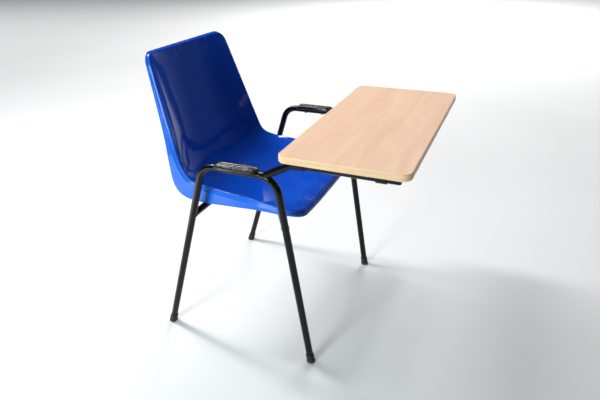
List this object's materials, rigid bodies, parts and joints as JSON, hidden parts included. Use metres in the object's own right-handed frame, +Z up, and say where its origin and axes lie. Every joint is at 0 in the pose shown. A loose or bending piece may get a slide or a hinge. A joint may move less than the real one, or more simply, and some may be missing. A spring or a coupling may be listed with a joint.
{
  "type": "student desk chair",
  "caption": "School chair with a glossy moulded bucket seat on bent-tube side frames with ribbed arm pads, and a writing board across two desk rails that flips up to one side.",
  "frame": {"origin": "on the floor, under the middle of the whole chair's bounding box", "axes": "+Z up, -Y the way the sitter faces, -X towards the sitter's right hand, where the board's hinge is"},
  "size_m": [0.673, 0.7832, 0.8491],
  "materials": {
    "frame_paint": "gloss black stoved paint on bent steel tube",
    "shell": "glossy deep blue moulded polypropylene",
    "arm_pad": "hard black moulded plastic, lengthwise ribs",
    "end_cap": "black plastic tube plug",
    "rubber": "black rubber, matt",
    "zinc": "bright zinc-plated steel",
    "black_screw": "black-finished steel",
    "insert": "plain brass",
    "bearing": "black nylon",
    "desk_top": "light beech-pattern laminate, satin",
    "desk_backing": "plain pale backing laminate",
    "chipboard": "raw chipboard",
    "edge_band": "cream plastic edge band, satin"
  },
  "bodies": {
    "chair": {"seat_shell": "shell", "rear_crossbar": "frame_paint", "front_crossbar": "frame_paint", "seat_tab_rear_right": "frame_paint", "seat_insert_rear_right": "insert", "seat_bolt_rear_right": "zinc", "seat_tab_front_right": "frame_paint", "seat_insert_front_right": "insert", "seat_bolt_front_right": "zinc", "seat_tab_rear_left": "frame_paint", "seat_insert_rear_left": "insert", "seat_bolt_rear_left": "zinc", "seat_tab_front_left": "frame_paint", "seat_insert_front_left": "insert", "seat_bolt_front_left": "zinc", "right_side_frame": "frame_paint", "right_desk_rail": "frame_paint", "right_rail_end_cap": "end_cap", "right_armrest_pad": "arm_pad", "right_rear_foot": "rubber", "right_front_foot": "rubber", "right_pad_screw_rear": "black_screw", "right_pad_screw_front": "black_screw", "left_side_frame": "frame_paint", "left_desk_rail": "frame_paint", "left_rail_end_cap": "end_cap", "left_armrest_pad": "arm_pad", "left_rear_foot": "rubber", "left_front_foot": "rubber", "left_pad_screw_rear": "black_screw", "left_pad_screw_front": "black_screw"},
    "desk": {"desk_core": "chipboard", "desk_top_laminate": "desk_top", "desk_underside_laminate": "desk_backing", "desk_edge_band": "edge_band", "hinge_strap_rear": "frame_paint", "hinge_bearing_rear": "bearing", "desk_buffer_rear": "rubber", "hinge_strap_front": "frame_paint", "hinge_bearing_front": "bearing", "desk_buffer_front": "rubber", "hinge_screw_rear_outer": "zinc", "hinge_screw_rear_inner": "zinc", "buffer_screw_rear": "zinc", "hinge_screw_front_outer": "zinc", "hinge_screw_front_inner": "zinc", "buffer_screw_front": "zinc"}
  },
  "joints": [
    {"name": "board_flip", "type": "hinge", "parent": "chair", "child": "desk", "pos_m": [-0.301, -0.2186, 0.628], "axis": [0, -1, 0], "range_deg": [0, 96]}
  ]
}
